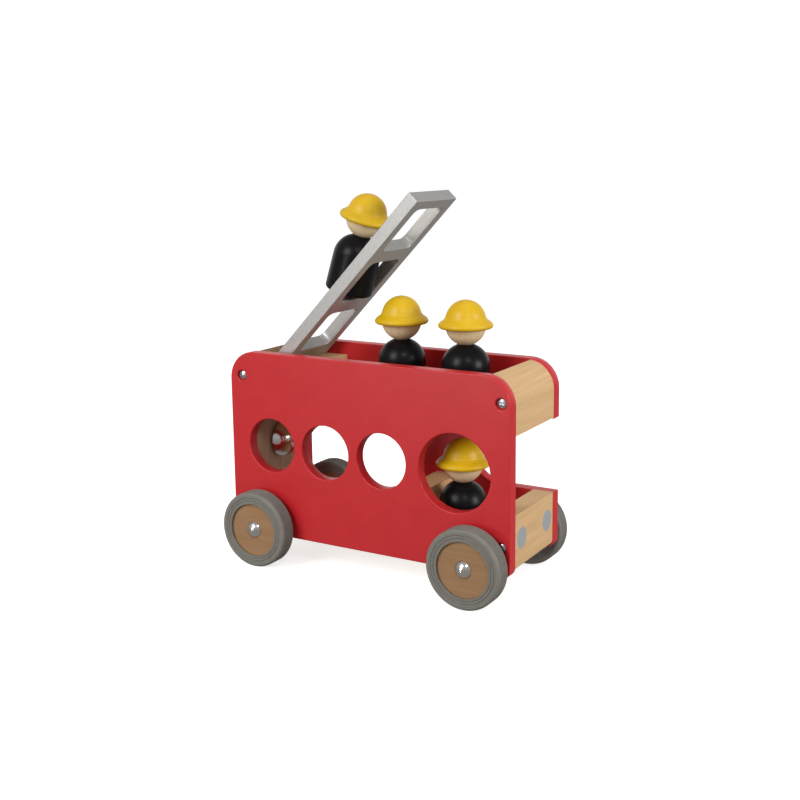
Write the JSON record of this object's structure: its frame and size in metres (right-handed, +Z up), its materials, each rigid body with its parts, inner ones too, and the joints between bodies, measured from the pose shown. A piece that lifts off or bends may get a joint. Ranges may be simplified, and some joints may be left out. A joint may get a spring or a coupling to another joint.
{
  "type": "toy fire engine",
  "caption": "Wooden toy fire engine with round windows, a hinged ladder on its open upper deck, rubber-tyred wheels, a bell and peg firefighters with helmets.",
  "frame": {"origin": "on the ground, under the middle of the body", "axes": "+X towards the cab at the front, +Y towards the side with the two door openings, +Z up"},
  "size_m": [0.251, 0.128, 0.2989],
  "materials": {
    "red_paint": "satin red paint on birch plywood, grain showing faintly through",
    "beech": "bare beech, sanded and oiled, fine flecks",
    "wheel_wood": "bare turned wood",
    "tyre": "grey matt rubber, ribbed",
    "chrome": "polished",
    "steel": "zinc-plated steel",
    "silver_paint": "silver paint on plywood",
    "black_paint": "satin black paint on turned wood",
    "head_wood": "bare turned wood, lightly varnished",
    "yellow_paint": "gloss yellow paint on turned wood"
  },
  "bodies": {
    "chassis": {"right_side_panel": "red_paint", "left_side_panel": "red_paint", "rear_wall": "beech", "upper_front_block": "beech", "lower_front_block": "beech", "upper_deck": "beech", "floor_board": "beech", "cab_partition": "beech", "ladder_block": "beech", "panel_screws": "steel", "bell_dome": "chrome", "bell_post": "steel", "bell_screw": "steel", "rear_axle": "steel", "front_axle": "steel", "wheel_spacers": "steel", "axle_caps": "chrome", "ladder_hinge_rod": "steel"},
    "rear_right_wheel_body": {"rear_right_wheel": "wheel_wood", "rear_right_tyre": "tyre"},
    "rear_left_wheel_body": {"rear_left_wheel": "wheel_wood", "rear_left_tyre": "tyre"},
    "front_right_wheel_body": {"front_right_wheel": "wheel_wood", "front_right_tyre": "tyre"},
    "front_left_wheel_body": {"front_left_wheel": "wheel_wood", "front_left_tyre": "tyre"},
    "ladder": {"ladder": "silver_paint"},
    "climber": {"climber_body": "black_paint", "climber_head": "head_wood", "climber_helmet": "yellow_paint"},
    "middle_crew": {"middle_crew_body": "black_paint", "middle_crew_head": "head_wood", "middle_crew_helmet": "yellow_paint"},
    "front_crew": {"front_crew_body": "black_paint", "front_crew_head": "head_wood", "front_crew_helmet": "yellow_paint"},
    "driver": {"driver_body": "black_paint", "driver_head": "head_wood", "driver_helmet": "yellow_paint"}
  },
  "joints": [
    {"name": "rear_right_wheel_spin", "type": "hinge", "parent": "chassis", "child": "rear_right_wheel_body", "pos_m": [-0.0935, 0, 0.0305], "axis": [0, 1, 0], "continuous": true},
    {"name": "rear_left_wheel_spin", "type": "hinge", "parent": "chassis", "child": "rear_left_wheel_body", "pos_m": [-0.0935, 0, 0.0305], "axis": [0, 1, 0], "continuous": true},
    {"name": "front_right_wheel_spin", "type": "hinge", "parent": "chassis", "child": "front_right_wheel_body", "pos_m": [0.0955, 0, 0.0305], "axis": [0, 1, 0], "continuous": true},
    {"name": "front_left_wheel_spin", "type": "hinge", "parent": "chassis", "child": "front_left_wheel_body", "pos_m": [0.0955, 0, 0.0305], "axis": [0, 1, 0], "continuous": true},
    {"name": "ladder_tilt", "type": "hinge", "parent": "chassis", "child": "ladder", "pos_m": [-0.0844, 0, 0.166], "axis": [0, -1, 0], "range_deg": [-10, 34]},
    {"name": "climber_lift", "type": "slide", "parent": "ladder", "child": "climber", "axis": [-0.7218, 0, 0.6921], "range_m": [0, 0.05]},
    {"name": "middle_crew_lift", "type": "slide", "parent": "chassis", "child": "middle_crew", "axis": [0, 0, 1], "range_m": [0, 0.03]},
    {"name": "front_crew_lift", "type": "slide", "parent": "chassis", "child": "front_crew", "axis": [0, 0, 1], "range_m": [0, 0.04]},
    {"name": "driver_lift", "type": "slide", "parent": "chassis", "child": "driver", "axis": [0, 0, 1], "range_m": [0, 0.015]}
  ]
}
